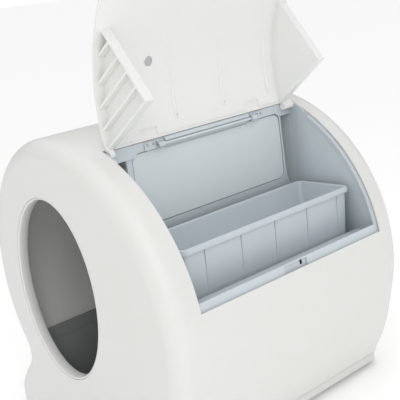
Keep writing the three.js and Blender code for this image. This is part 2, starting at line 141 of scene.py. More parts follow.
def clouded(tree, cloud, fine, colour, vary, tint):
    """The plastic's colour, which drifts a little over the surface."""
    ramp = node(tree, "ValToRGB")
    low, high = ramp.color_ramp.elements
    low.position, high.position = 0.3, 0.7
    low.color = (*[c * (1 - vary) * t for c, t in zip(colour, tint)], 1)
    high.color = (*[min(1, c * (1 + vary * 0.4)) for c in colour], 1)
    blend = node(tree, "Mix", data_type="FLOAT")
    blend.inputs["Factor"].default_value = 0.35
    tree.links.new(cloud, blend.inputs[FLOAT_A])
    tree.links.new(fine, blend.inputs[FLOAT_B])
    tree.links.new(blend.outputs[0], ramp.inputs["Fac"])
    return ramp.outputs["Color"]


def paler_edges(tree, colour, edge, worn):
    share = node(tree, "Math", operation="MULTIPLY")
    share.inputs[1].default_value = worn
    tree.links.new(edge, share.inputs[0])
    paler = node(tree, "Mix", data_type="RGBA", blend_type="SCREEN")
    paler.inputs[COLOUR_B].default_value = EDGE_COLOUR
    tree.links.new(share.outputs[0], paler.inputs["Factor"])
    tree.links.new(colour, paler.inputs[COLOUR_A])
    return paler.outputs[2]


# Painted shade: darkens the colour where nearby surfaces hem it in (ambient occlusion), so hollows,
# creases, gaps and spots under parts look shaded.
def painted_hollow_shade(tree, colour, painted_shade, reach):
    hollow = node(tree, "AmbientOcclusion", samples=6, Distance=reach)
    depth = node(tree, "MapRange", From_Min=0.15, To_Min=1 - painted_shade)
    tree.links.new(hollow.outputs["AO"], depth.inputs["Value"])
    shaded = node(tree, "Mix", data_type="RGBA", blend_type="MULTIPLY")
    shaded.inputs["Factor"].default_value = 1
    tree.links.new(colour, shaded.inputs[COLOUR_A])
    tree.links.new(depth.outputs["Result"], shaded.inputs[COLOUR_B])
    return shaded.outputs[2]


def polished_edges(tree, fine, edge, roughness):
    """Roughness that varies with the fine noise and is lower on worn edges."""
    rough = node(tree, "MapRange", To_Min=roughness - 0.07, To_Max=roughness + 0.09)
    tree.links.new(fine, rough.inputs["Value"])
    polish = node(tree, "Math", operation="MULTIPLY_ADD")
    polish.inputs[1].default_value = -0.12
    tree.links.new(edge, polish.inputs[0])
    tree.links.new(rough.outputs["Result"], polish.inputs[2])
    return polish.outputs[0]


def moulded(name, colour, roughness=0.42, vary=0.03, grain=0.12, grain_size=900.0, worn=0.10,
            specular=0.5, tint=(1.0, 0.995, 0.985), metallic=0.0, streak=None, soft=0.0, painted_shade=0.3,
            reach=0.014):
    """Moulded plastic, rubber or metal: cloudy colour, fine grain, painted shade darkening its hollows,
    paler edges.
    """
    material = bpy.data.materials.new(name)
    material.use_nodes = True
    tree = material.node_tree
    tree.nodes.clear()
    out = node(tree, "OutputMaterial")
    shader = node(tree, "BsdfPrincipled", Metallic=metallic, Specular_IOR_Level=specular,
                  Subsurface_Weight=soft, Subsurface_Radius=(1.0, 0.95, 0.75), Subsurface_Scale=0.004)
    tree.links.new(shader.outputs[0], out.inputs["Surface"])
    spot = node(tree, "TexCoord").outputs["Object"]
    if streak:
        mapping = node(tree, "Mapping", Scale=streak)
        tree.links.new(spot, mapping.inputs["Vector"])
        spot = mapping.outputs["Vector"]

    def noise(scale, detail):
        made = node(tree, "TexNoise", Scale=scale, Detail=detail)
        tree.links.new(spot, made.inputs["Vector"])
        return made.outputs["Fac"]

    cloud, fine, grit = noise(7.0, 4.0), noise(60.0, 3.0), noise(grain_size, 2.0)
    edge = edge_mask(tree)
    shade = clouded(tree, cloud, fine, colour, vary, tint)
    shade = paler_edges(tree, shade, edge, worn)
    shade = painted_hollow_shade(tree, shade, painted_shade, reach)
    tree.links.new(shade, shader.inputs["Base Color"])
    tree.links.new(polished_edges(tree, fine, edge, roughness), shader.inputs["Roughness"])
    bump = node(tree, "Bump", Strength=grain, Distance=0.0004)
    tree.links.new(grit, bump.inputs["Height"])
    tree.links.new(bump.outputs[0], shader.inputs["Normal"])
    return material


NEUTRAL = (1, 1, 1)
# Every material below darkens its hollows as painted shade; the liner's and bin's longer reach also darkens
# their insides and lower faces.
HOOD_WHITE = moulded("white_plastic", (0.785, 0.788, 0.768), roughness=0.40, vary=0.02, painted_shade=0.12)
COLLAR_WHITE = moulded("white_collar_plastic", (0.83, 0.83, 0.80), roughness=0.44, vary=0.025, painted_shade=0.12)
LID_WHITE = moulded("white_lid_plastic", (0.87, 0.873, 0.856), vary=0.02, soft=0.03, painted_shade=0.11)
BASE_WHITE = moulded("white_base_plastic", (0.77, 0.77, 0.745), roughness=0.47)
LINER_GREY = moulded("grey_liner_plastic", (0.63, 0.692, 0.733), roughness=0.46, painted_shade=0.32, reach=0.05)
DOOR_GREY = moulded("grey_door_plastic", (0.69, 0.745, 0.768), roughness=0.44, vary=0.025)
BIN_GREY = moulded("grey_bin_plastic", (0.60, 0.66, 0.70), roughness=0.45, painted_shade=0.18, reach=0.09)
TRAY_GREY = moulded("dark_tray_plastic", (0.29, 0.295, 0.30), roughness=0.5, vary=0.10, grain=0.2)
LATCH_DARK = moulded("dark_latch_plastic", (0.03, 0.03, 0.032), roughness=0.5, vary=0.1)
RUBBER = moulded("rubber", (0.025, 0.025, 0.026), roughness=0.8, vary=0.15, grain=0.5,
                 grain_size=600.0, specular=0.3)
STEEL = moulded("steel", (0.62, 0.64, 0.66), roughness=0.3, vary=0.08, grain=0.15, metallic=1.0,
                streak=(30.0, 1.0, 30.0), tint=NEUTRAL)
MAGNET_GREY = moulded("magnet_plating", (0.50, 0.51, 0.515), vary=0.06, grain=0.2, metallic=0.6,
                      tint=NEUTRAL)


# ---- outlines ----------------------------------------------------------------------------------
def circle(u, v, radius, sides=40):
    return [(u + radius * cos(2 * pi * k / sides), v + radius * sin(2 * pi * k / sides))
            for k in range(sides)]


def arc(radius, low, high, steps):
    return [(radius * cos(radians(low + (high - low) * k / steps)),
             radius * sin(radians(low + (high - low) * k / steps))) for k in range(steps + 1)]


def sector(r0, r1, low, high, steps):
    return arc(r1, low, high, steps) + arc(r0, high, low, steps)


def quarter(radius, steps=5):
    """Quarter turn from (radius, 0) to (0, radius), hollow side towards (radius, radius)."""
    return [(radius * (1 - sin(t)), radius * (1 - cos(t)))
            for t in (pi / 2 * k / steps for k in range(steps + 1))]


def rounded(u0, v0, u1, v1, radius, seg=8):
    """Rectangle with round corners; radius is one number or one for each corner."""
    radii = radius if isinstance(radius, tuple) else (radius,) * 4
    corners = ((u1, v0, -90), (u1, v1, 0), (u0, v1, 90), (u0, v0, 180))
    points = []
    for (u, v, start), r in zip(corners, radii):
        cu = u - r if u == u1 else u + r
        cv = v - r if v == v1 else v + r
        for k in range(seg + 1):
            a = radians(start + 90 * k / seg)
            points.append((cu + r * cos(a), cv + r * sin(a)))
    return points


def spline(points, per):
    """Catmull-Rom curve through the points, with per steps between neighbours."""
    made, last = [], len(points) - 1
    for k in range(last * per + 1):
        i = min(k // per, last - 1)
        w = k / per - i
        p = [points[j] for j in (max(i - 1, 0), i, i + 1, min(i + 2, last))]
        made.append(tuple(
            (2 * p[1][c] - 2 * p[2][c] + (p[2][c] - p[0][c] + p[3][c] - p[1][c]) / 2) * w ** 3
            + (-3 * p[1][c] + 3 * p[2][c] - (p[2][c] - p[0][c]) - (p[3][c] - p[1][c]) / 2) * w ** 2
            + (p[2][c] - p[0][c]) / 2 * w + p[1][c] for c in (0, 1)))
    return made


# ---- solids ------------------------------------------------------------------------------------
PLANES = {"X": lambda u, v, t: (t, u, v), "Y": lambda u, v, t: (u, t, v), "Z": lambda u, v, t: (u, v, t)}


def solid(vertices, faces):
    mesh = bpy.data.meshes.new("solid")
    mesh.from_pydata([tuple(v) for v in vertices], [], faces)
    shape = bmesh.new()
    shape.from_mesh(mesh)
    bmesh.ops.recalc_face_normals(shape, faces=shape.faces)
    shape.to_mesh(mesh)
    shape.free()
    return in_scene("solid", mesh)


def loft(rings, closed_path=False):
    """Skin over rings of equally many points, capped unless the path closes on itself."""
    count = len(rings[0])
    vertices = [p for ring in rings for p in ring]
    faces = []
    for i in range(len(rings) if closed_path else len(rings) - 1):
        a, b = i * count, ((i + 1) % len(rings)) * count
        faces += [(a + k, a + (k + 1) % count, b + (k + 1) % count, b + k) for k in range(count)]
    if not closed_path:
        faces += [tuple(range(count)), tuple(range((len(rings) - 1) * count, len(vertices)))]
    return solid(vertices, faces)


def prism(axis, points, low, high):
    """Outline in the plane across axis, run from low to high along it."""
    return loft([[PLANES[axis](u, v, t) for u, v in points] for t in (low, high)])


def box(x0, y0, z0, x1, y1, z1):
    return prism("Z", [(x0, y0), (x1, y0), (x1, y1), (x0, y1)], z0, z1)


def turned(profile, axis_point, along, sides=40):
    """Solid of revolution: profile is (radius, distance along the axis), flat at both ends."""
    x, y, z = axis_point
    turn = {"X": lambda r, t, a: (x + t, y + r * cos(a), z + r * sin(a)),
            "Y": lambda r, t, a: (x + r * cos(a), y + t, z + r * sin(a)),
            "Z": lambda r, t, a: (x + r * cos(a), y + r * sin(a), z + t)}[along]
    return loft([[turn(r, t, 2 * pi * k / sides) for k in range(sides)] for r, t in profile])


def rod_y(x, z, radius, y0, y1, sides=40, chamfer=0.0):
    profile = [(radius, y0), (radius, y1)]
    if chamfer:
        profile = [(radius - chamfer, y0), (radius, y0 + chamfer), (radius, y1 - chamfer),
                   (radius - chamfer, y1)]
    return turned(profile, (x, 0, z), "Y", sides)


def radial(angle, y, profile, sides=40):
    """Turned about a radius of the drum at that angle: profile is (radius, distance from the axis)."""
    c, s = cos(radians(angle)), sin(radians(angle))
    out, across = Vector((c, 0, s)), Vector((-s, 0, c))
    rings = [[out * d + across * r * cos(t) + Vector((0, y + r * sin(t), 0))
              for t in (2 * pi * k / sides for k in range(sides))] for r, d in profile]
    return loft(rings)


def baked(made):
    """The object's mesh with its modifiers applied."""
    depsgraph = bpy.context.evaluated_depsgraph_get()
    return bpy.data.meshes.new_from_object(made.evaluated_get(depsgraph))


def merge(operation, first, *others):
    for k, other in enumerate(others):
        step = first.modifiers.new(f"step{k}", "BOOLEAN")
        step.operation, step.object, step.solver = operation, other, "MANIFOLD"
    made = in_scene("solid", baked(first))
    for old in (first, *others):
        bpy.data.objects.remove(old)
    return made


def join(first, *others):
    return merge("UNION", first, *others)


def cut(first, *others):
    return merge("DIFFERENCE", first, *others)


def common(first, *others):
    return merge("INTERSECT", first, *others)


def tub_rings(x0, y0, x1, y1):
    """Makes the rings of a tub of that plan: each is a rounded rectangle at height z, distance
    inside the plan, and left and right further in at its two sides."""
    def ring(distance, z, radius, left=0.0, right=0.0):
        points = rounded(x0 + distance + left, y0 + distance, x1 - distance - right, y1 - distance,
                         radius, 10)
        return [(u, v, z) for u, v in points]

    return ring


MERGED = 0.004                     # vertices closer than this become one


def piece(name, made, body, material, nodes=(), bevel=0.0, segments=2, limit=32,
          flatten=0.25, place=PLACE):
    """Cleans a solid, takes it to its place, and hangs it on its body."""
    shape = bmesh.new()
    shape.from_mesh(made.data)
    bmesh.ops.remove_doubles(shape, verts=shape.verts, dist=MERGED)
    if flatten:
        bmesh.ops.dissolve_limit(shape, angle_limit=radians(flatten), verts=shape.verts,
                                 edges=shape.edges)
    shape.transform(place)
    bmesh.ops.recalc_face_normals(shape, faces=shape.faces)
    shape.to_mesh(made.data)
    shape.free()
    made.name = name
    made.data.name = name
    made.data.materials.clear()
    made.data.materials.append(material)
    made.data.shade_smooth()
    made.data.set_sharp_from_angle(angle=radians(limit))
    if bevel:
        rim = made.modifiers.new("rounding", "BEVEL")
        rim.width, rim.segments = bevel / 1000, segments
        rim.limit_method, rim.angle_limit = "ANGLE", radians(limit)
        rim.harden_normals = True
        rim.miter_outer = "MITER_ARC"
    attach(made, body)
    if nodes:
        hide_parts(*nodes)
    return made


# ---- hood --------------------------------------------------------------------------------------
SIDE = {"z": 52.0, "a": 166.4, "b": 208.0, "lowest": -78.0}    # ellipse of the drum's left side
SKIRT = [(-131, -90), (-139, -106), (-158, -126), (-174, -150), (-176.8, -178), (-176, -240)]
RIGHT = [(203, -240), (209, -184), (226, -150), (240, -113), (249, -76)]
ARC_LOW = -14                      # where the drum's round right side starts
FACE_MIDDLE = (0.0, -50.0)         # the flat faces' rings run out from here
FACE_STEPS = (0, 0.03, 0.12, 0.35, 0.65, 0.9)
BACK_STEPS = (0.9, 0.6, 0.3, 0.1)
CREASE = 50                        # degrees: sharper edges of the hood are rounded
HOOD_ROUNDING = 2.5                # at the entry; elsewhere it is EDGE_SHARE of that
EDGE_SHARE = 0.36


def hood_outline():
    """Section from the right foot over the top to the left foot, cut at the hood's bottom."""
    last = 180 + degrees(asin((SIDE["z"] - SIDE["lowest"]) / SIDE["b"]))
    side = [(SIDE["a"] * cos(radians(t)), SIDE["z"] + SIDE["b"] * sin(radians(t)))
            for t in (90 + (last - 90) * k / 48 for k in range(1, 49))]
    arcs = (arc(R, ARC_LOW, OPENING[0], 11)[:-1] + arc(R, *OPENING, 40)[:-1]
            + arc(R, OPENING[1], 90, 12))
    whole = spline(RIGHT, 6) + arcs + side + spline(SKIRT, 6)

    def trim(points):
        first = next(i for i, p in enumerate(points) if p[1] >= HOOD_BOTTOM)
        (x0, z0), (x1, z1) = points[first - 1], points[first]
        share = (HOOD_BOTTOM - z0) / (z1 - z0)
        return [(x0 + (x1 - x0) * share, HOOD_BOTTOM)] + points[first:]

    return trim(trim(whole)[::-1])[::-1]


OUTLINE = hood_outline()


def inset(points, distance):
    moved = []
    for i, (x, z) in enumerate(points):
        (xa, za), (xb, zb) = points[max(i - 1, 0)], points[min(i + 1, len(points) - 1)]
        length = hypot(xb - xa, zb - za)
        moved.append((x - (zb - za) / length * distance, z + (xb - xa) / length * distance))
    moved[0] = (moved[0][0], HOOD_BOTTOM)
    moved[-1] = (moved[-1][0], HOOD_BOTTOM)
    return moved


def closing(points, count=30):
    """The outline with its open bottom closed by a row of points."""
    (x0, _), (x1, _) = points[-1], points[0]
    return points + [(x0 + (x1 - x0) * k / count, HOOD_BOTTOM) for k in range(1, count)]


def on_entry(x, z):
    """Where the ray from the face's middle towards (x, z) meets the entry's oval."""
    angle = atan2(z - FACE_MIDDLE[1], x - FACE_MIDDLE[0])
    c, s, d = cos(angle), sin(angle), FACE_MIDDLE[1] - ENTRY["z"]
    a2, b2 = ENTRY["a"] ** 2, ENTRY["b"] ** 2
    qa, qb, qc = c * c / a2 + s * s / b2, 2 * d * s / b2, d * d / b2 - 1
    reach = (-qb + sqrt(qb * qb - 4 * qa * qc)) / (2 * qa)
    return FACE_MIDDLE[0] + c * reach, FACE_MIDDLE[1] + s * reach


def in_opening(k):
    """Whether the outline's stretch k lies between the opening's edges."""
    (x, z), (x1, z1) = OUTLINE[k], OUTLINE[k + 1]
    return OPENING[0] < degrees(atan2(z + z1, x + x1)) < OPENING[1]


def hood_surface():
    """The hood's outer surface as quads: entry face, rounded edge, drum, rounded edge, back."""
    shape = bmesh.new()

    def ring(points, y):
        return [shape.verts.new((x, y, z)) for x, z in points]

    def band(a, b, closed=False, skip=None):
        for k in range(len(a) if closed else len(a) - 1):
            n = (k + 1) % len(a)
            if not (skip and skip(k)):
                shape.faces.new((a[k], a[n], b[n], b[k]))

    flat = inset(OUTLINE, EDGE)
    loop = closing(flat)
    oval = [on_entry(x, z) for x, z in loop]
    rings = [ring([(o[0] + (p[0] - o[0]) * w, o[1] + (p[1] - o[1]) * w)
                   for o, p in zip(oval, loop)], FRONT) for w in FACE_STEPS]
    front_edge = ring(loop, FRONT)
    for a, b in zip(rings, rings[1:] + [front_edge]):
        band(a, b, closed=True)

    rounding = quarter(EDGE, 10)
    stations = [(FRONT + y, distance) for distance, y in rounding[1:]]
    stations += [(-11.0, 0), (0.0, 0)]
    stations += [(LENGTH * k / 12, 0) for k in range(1, 13)]
    stations += [(BACK - y, distance) for distance, y in rounding[::-1]]
    last = front_edge[:len(flat)]
    for y, distance in stations:
        here = ring(inset(OUTLINE, distance), y)
        beside_opening = 0 < y <= LENGTH + 0.01
        band(last, here, skip=in_opening if beside_opening else None)
        last = here

    tail = last + [shape.verts.new((x, BACK, z)) for x, z in loop[len(flat):]]
    for w in BACK_STEPS:
        inner = ring([(x * w, FACE_MIDDLE[1] + (z - FACE_MIDDLE[1]) * w) for x, z in loop], BACK)
        band(tail, inner, closed=True)
        tail = inner
    shape.faces.new(tail)
    bmesh.ops.recalc_face_normals(shape, faces=shape.faces)
    mesh = bpy.data.meshes.new("hood")
    shape.to_mesh(mesh)
    shape.free()
    return in_scene("hood", mesh)


def mark_edges(mesh):
    """Weights the hood's sharp edges for rounding: the entry's most."""
    shape = bmesh.new()
    shape.from_mesh(mesh)
    weight = shape.edges.layers.float.new("bevel_weight_edge")
    for edge in shape.edges:
        if len(edge.link_faces) == 2 and edge.calc_face_angle() > radians(CREASE):
            points = [v.co for v in edge.verts]
            entry = all(p.y < FRONT + 0.1 and p.z > -110 and abs(p.x) < 110 for p in points)
            edge[weight] = 1.0 if entry else EDGE_SHARE
    shape.to_mesh(mesh)
    shape.free()


def hood():
    made = hood_surface()
    wall = made.modifiers.new("wall", "SOLIDIFY")
    wall.thickness, wall.offset, wall.use_even_offset = WALL, -1, True
    mesh = baked(made)
    made.modifiers.clear()
    made.data = mesh
    mark_edges(mesh)
    made = piece("hood_skin", made, "hood", HOOD_WHITE, ["hood_shell"], flatten=0)
    rim = made.modifiers.new("rounding", "BEVEL")
    rim.limit_method, rim.width, rim.segments = "WEIGHT", HOOD_ROUNDING / 1000, 4
    rim.harden_normals = True


def inner_seam():
    """The joint line of the hood's moulding, a low bead along the inside of its left wall."""
    a, b = SIDE["a"] - WALL, SIDE["b"] - WALL
    (x0, z0), (x1, z1) = [(-sin(radians(t)) * a, SIDE["z"] + cos(radians(t)) * b) for t in (65.5, 66.3)]
    bead = [(x0, z0), (x1, z1), (x1 + 1.0, z1 - 0.6), (x0 + 1.0, z0 - 0.8)]
    piece("hood_inner_seam", prism("Y", bead, -20, 390), "hood", HOOD_WHITE, bevel=0.3)


def entry_collar():
    """Ring round the entry: its profile is (distance inside the entry's oval, y)."""
    y0, y1 = FRONT + 1.0, FRONT + 17.0
    profile = [(3.3, y1 - 1.0), (2.4, y1), (1.2, y1), (0.3, y1 - 0.6), (0.3, y0 + 0.8), (0.6, y0 + 0.2),
               (1.2, y0), (2.2, y0 + 0.3), (3.0, y0 + 1.2), (3.3, y0 + 2.4)]
    rings = [[((ENTRY["a"] - d) * cos(t), y, ENTRY["z"] + (ENTRY["b"] - d) * sin(t)) for d, y in profile]
             for t in (2 * pi * k / 128 for k in range(128))]
    piece("entry_collar_ring", loft(rings, closed_path=True), "hood", COLLAR_WHITE,
          ["entry_collar"], flatten=0, limit=50)


hood()
inner_seam()
entry_collar()


# ---- compartment liner -------------------------------------------------------------------------
WALL_X = (92.2, 96.2)              # the compartment's back wall
WALL_TOP = 232
END_X = 64                         # how far back its end walls reach
END_TOP = 238
END_ANGLE = 60.5                   # where an end wall steps out to the hood's radius
WELL_X = 217.0                     # front of the well that holds the bin
WELL_Z = 10.0
LEDGE = 39.5
BAR = [(84.2, 219.7), (98.2, 219.7), (98.2, 238.5), (95.5, 241), (84.2, 241)]     # top bar's section
LIP = {"r0": 252.8, "r1": 256.0, "low": 8.4, "high": 11.6}   # raised edge under the lid
LIP_END = (6.5, 58)                # its width and highest angle at the rear end
CATCH = {"y": 199.5, "slot": (41.6, 50.1), "recess": (163, 210), "deep": 2.0}
CATCH_PLATE = {"x": (245.3, 247.1), "half": 9, "top": 49.6}
DOOR_HOLE = (47, 119.4, 348, 225.6)
SLOT_Z = (100, 219.7)              # the two slots beside the inner door
FOLD = [(113.6, 205), (112.4, 205), (104.4, 98), (105.6, 98)]   # low step in the rear end wall


def end_section(edge):
    """Section of an end wall, whose upper edge is an arc of that radius."""
    stepped = radians(END_ANGLE + 1)
    return [(END_X, WELL_Z), (WELL_X, WELL_Z), (WELL_X, LEDGE - 3), (edge - 4, LEDGE - 3),
            *arc(edge, OPENING[0], END_ANGLE, 40), (R * cos(stepped), R * sin(stepped)),
            *arc(R, END_ANGLE + 1.5, END_ANGLE + 5.5, 6), (WALL_X[0], END_TOP), (END_X, END_TOP)]


def rear_slot():
    """The slot beside the door's rear edge: round at its top corner, and curved in at its foot."""
    outer = 372.6
    corner = [(354.9 - 3.6 * sin(radians(t)), 216.1 + 3.6 * cos(radians(t))) for t in range(0, 91, 15)]
    return [(outer, SLOT_Z[1]), *corner, (351.8, 180), (352.4, 150), (353.6, 128), (355.2, 118),
            (358, 110), (361.8, 104), (366.5, 100.4), (outer, 99)]


def liner():
    y0, y1 = GAP, LENGTH - GAP
    x0, x1 = WALL_X
    lip_ends = ((y0, y1, LIP["high"]), (LENGTH - LIP_END[0], y1, LIP_END[1]))
    whole = join(
        box(x0, y0, WELL_Z, x1, y1, WALL_TOP),
        prism("Y", BAR, y0, y1),
        box(x0, y0, WELL_Z, WELL_X, y1, WELL_Z + 3),
        box(WELL_X - 3, y0, WELL_Z, WELL_X, y1, LEDGE),
        box(WELL_X - 3, y0, LEDGE - 3, R, y1, LEDGE),
        *[prism("Y", end_section(edge), y, y + 3) for edge, y in ((252.0, y0), (INSIDE - GAP, y1 - 3))],
        *[prism("Y", sector(LIP["r0"], LIP["r1"], LIP["low"], high, 32), a, b) for a, b, high in lip_ends])
    whole = common(whole, prism("Y", circle(0, 0, R - GAP, 360), y0 - 1, y1 + 1))
    under_hood = [prism("Y", sector(R - WALL - GAP, R + 9, low, high, 10), y0 - 1, y1 + 1)
                  for low, high in ((OPENING[1] - 0.5, 90), (-12, OPENING[0] + 0.1))]
    door_hole = prism("X", rounded(*DOOR_HOLE, 14, 12), x0 - 10, x1 + 2.6)
    channel = box(x1 - 1, WEB_Y[0] - 1, 222, x1 + 12, WEB_Y[1] + 1, 229)
    front_slot = prism("X", rounded(4.4, SLOT_Z[0], 37.7, SLOT_Z[1], (16, 3.5, 2, 2), 10), x0 - 1, x1 + 1)
    back_slot = prism("X", rear_slot(), x0 - 1, x1 + 1)
    curve = prism("Y", sector(LIP["r1"] - CATCH["deep"], R, 8.6, LIP["high"] - 0.5, 8), 150, 220)
    r0, r1 = CATCH["recess"]
    recess = common(curve, prism("X", rounded(r0, 30, r1, 60, (9, 6, 0.5, 0.5), 8), 200, R + 2))
    z0, z1 = CATCH["slot"]
    catch_slot = prism("X", rounded(CATCH["y"] - 2.6, z0, CATCH["y"] + 2.6, z1, 2.5, 8), 244, R)
    pins = rod_y(*LID_AXIS, PIN_BORE, y0 - 1, y1 + 1)
    whole = cut(whole, *under_hood, door_hole, channel, front_slot, back_slot, recess, catch_slot, pins)
    whole = join(whole, prism("Y", FOLD, y1 - 3.5, y1 - 2.5))
    piece("liner_moulding", whole, "hood", LINER_GREY, ["compartment_liner"], bevel=0.7,
          segments=3)


def catch_plate():
    y, half, top = CATCH["y"], CATCH_PLATE["half"], CATCH_PLATE["top"]
    plate = prism("X", rounded(y - half, LEDGE + GAP, y + half, top, 2.0, 5), *CATCH_PLATE["x"])
    piece("latch_catch_plate", plate, "hood", LATCH_DARK, ["latch_plate"], bevel=0.3)


def cover_strip():
    """Half-round strip on the top bar, whose ends shrink towards the bar's face."""
    face, middle = 98.5, 235.5
    section = [(face, 238.8), (99.6, 238.5), (100.6, 237.7), (101.3, 236.4), (101.7, 234.8), (101.8, 233.4),
               (101.4, 232.5), (100.4, 232.3), (face, 232.3)]
    stations = ((106.6, 0.3), (106.9, 0.75), (107.4, 0.92), (108.4, 1.0),
                (276.1, 1.0), (277.1, 0.92), (277.6, 0.75), (277.9, 0.3))
    rings = [[(face + (x - face) * w, y, middle + (z - middle) * w) for x, z in section]
             for y, w in stations]
    piece("hinge_cover_strip", loft(rings), "hood", LINER_GREY, ["hinge_moulding"],
          flatten=0, limit=60)


liner()
catch_plate()
cover_strip()


# ---- inner door and its hinge ------------------------------------------------------------------
DOOR = (48.2, 120.6, 346.8, 224)
DOOR_X = (92.6, 95.6)
BARREL = {"radius": 2.1, "y": (104.6, 279.9)}
WEB = [(93.4, 219), (94.4, 221.5), (95.2, 223.2), (101.2, 227.9), (102.4, 228.4), (101.4, 229.7),
       (94.3, 223.9), (93.4, 223.6)]
LEAF_X = 98.5                      # the bar's face, with a gap
LEAF_THICK = 1.2
LEAF_Z = (225.5, 237)
KNUCKLE = 4.3
SCREW_Y = (75, 85.8, 295.5, 303.5)
SCREW_Z = 233


def inner_door():
    """Sheet hung from a barrel that stands forward of it, on a slanting web."""
    sheet = prism("X", rounded(*DOOR, 13, 12), *DOOR_X)
    web = prism("Y", WEB, *WEB_Y)
    sheet = cut(sheet, prism("Y", [(94.4, 221.2), (96.4, 221.8), (96.4, 225), (94.4, 225)], *WEB_Y))
    barrel = rod_y(*DOOR_AXIS, BARREL["radius"], *BARREL["y"])
    whole = cut(join(sheet, web, barrel), rod_y(*DOOR_AXIS, ROD_BORE, 100, 290))
    piece("door_panel", whole, "inner_door", DOOR_GREY, ["inner_door"], bevel=0.6, segments=3)


def hinge_leaf(side, y0, y1, knuckle, slit):
    """Leaf with a knuckle round the rod, and a slit beside the knuckle."""
    plate = prism("X", rounded(y0, LEAF_Z[0], y1, LEAF_Z[1], 1.6, 6), LEAF_X, LEAF_X + LEAF_THICK)
    barrel = common(rod_y(*DOOR_AXIS, KNUCKLE, *knuckle), box(LEAF_X, y0, 220, LEAF_X + 12, y1, 240))
    whole = cut(join(plate, barrel), rod_y(*DOOR_AXIS, ROD_BORE, y0 - 1, y1 + 1),
                box(LEAF_X - 1, slit[0], 227, LEAF_X + 3, slit[1], 238))
    piece(f"hinge_plate_{side}", whole, "hood", LINER_GREY, [f"hinge_leaf_{side}"], bevel=0.3)


def screw(index, y):
    """Pan-head screw with a cross recess."""
    x = LEAF_X + 1.5
    head = turned([(2.0, 0), (2.0, 0.25), (1.75, 0.6), (1.2, 0.82), (0.4, 0.9)], (x, y, SCREW_Z), "X", 28)
    angle = radians(20 + 47 * index)
    arms = []
    for turn in (angle, angle + pi / 2):
        c, s = cos(turn), sin(turn)
        corners = [(y + c * u - s * v, SCREW_Z + s * u + c * v)
                   for u, v in ((-1.15, -0.22), (1.15, -0.22), (1.15, 0.22), (-1.15, 0.22))]
        arms.append(prism("X", corners, x + 0.35, x + 2))
    piece(f"cross_screw_{index}", cut(head, *arms), "hood", STEEL, [f"leaf_screw_{index}"],
          flatten=0)


inner_door()
piece("door_hinge_rod", rod_y(*DOOR_AXIS, ROD, 95, 289.5, 24, chamfer=0.4), "hood", STEEL,
      ["door_rod"], flatten=0)
hinge_leaf("left", 70, 104, knuckle=(92.5, 104), slit=(89.9, 92.2))
hinge_leaf("right", 280.5, 307.5, knuckle=(280.5, 292), slit=(292.3, 293.1))
for number, place_y in enumerate(SCREW_Y, 1):
    screw(number, place_y)


# ---- waste bin ---------------------------------------------------------------------------------
BIN = {"x0": 114.0, "x1": 211.4, "y0": 20.0, "y1": 361.5, "bottom": 13.4, "top": 111.5}
BIN_DRAFT = 4.0                    # how much narrower each side is at the bottom
BIN_WALL = 2.5
BIN_CORNER = 9.0
GROOVE_Y = (58, 127, 195.5, 265, 334.8)


def bin_lean(z):
    bottom, top = BIN["bottom"], BIN["top"]
    return BIN_DRAFT * (1 - (z - bottom) / (top - 1 - bottom))


def bin_grooves():
    """Narrow grooves in the front face, which fade out downwards."""
    grooves = []
    for y in GROOVE_Y:
        rows = []
        for z, half, deep in ((BIN["top"] - 8.3, 1.4, 2.0), (42, 0.3, 0.4)):
            face = BIN["x1"] - bin_lean(z)
            rows.append([(face - deep, y - half * 0.6, z), (face + 2, y - half * 1.3, z),
                         (face + 2, y + half * 1.3, z), (face - deep, y + half * 0.6, z)])
        grooves.append(loft(rows))
    return grooves


def waste_bin():
    bottom, top = BIN["bottom"], BIN["top"]
    corner, inner = BIN_CORNER, BIN_CORNER - 2
    ring = tub_rings(BIN["x0"], BIN["y0"], BIN["x1"], BIN["y1"])
    rim = ((-3.0, 8.4, 3), (-3.8, 8.0, 3.8), (-4.0, 7.4, 4), (-4.0, 2.4, 4), (-3.5, 0.9, 3.5),
           (-2.4, 0.2, 2.4), (-1.0, 0, 1), (0.9, 0.1, -0.8), (1.9, 0.7, -1.6))
    rings = [ring(bin_lean(bottom) + d, bottom + h, corner - d * 0.8) for d, h in quarter(4.0)]
    rings += [ring(bin_lean(z), z, corner) for z in (40, 75, top - 8.8)]
    rings += [ring(bin_lean(top) - 0.4, top - 8.4, corner + 0.2)]
    rings += [ring(d, top - down, corner + more) for d, down, more in rim]
    rings += [ring(BIN_WALL, top - 2.0, inner)]
    rings += [ring(BIN_WALL + bin_lean(z), z, inner) for z in (75, 40, bottom + 9)]
    rings += [ring(BIN_WALL + bin_lean(bottom + 8) + d, bottom + BIN_WALL + h, max(inner - d * 0.8, 2.5))
              for d, h in quarter(6.5)[-2::-1]]
    whole = cut(loft(rings), *bin_grooves())
    piece("bin_tub", whole, "hood", BIN_GREY, ["waste_bin"], bevel=0.25, limit=40)


waste_bin()


# ---- lid, drawn closed -------------------------------------------------------------------------
LEAN_FRONT, LEAN_REAR = -9.0, -1.2    # shift along the hinge, from the flange's free edge up to the pins
FLANGE = {"x": 110.0, "z": 122.5, "strip": 3.0, "outer": 14.2, "wall": (24.8, 27.8)}
FLANGE_RIBS = (134, 158, 182, 206)
RIB = (-0.8, 2.6)                  # a rib's faces, from its place along X
LUG = 5.2                          # radius of the lugs that the pins pass through
RIDGE_Y = (135.5, 231, 327)
RIDGE = {"low": 36, "high": 60.1, "steps": 24}
PADS = ((65, 96), (273, 302))      # flat pads at the lid's hinge edge
STEP = {"angle": 63.8, "y": 28.2}  # thinner strip between the flanges, up to the hinge edge
DIMPLE = {"angle": 59.3, "radius": 1.7}
MAGNET = (40.9, 96)                # angle and y


def mirrored(y):
    return LENGTH - y


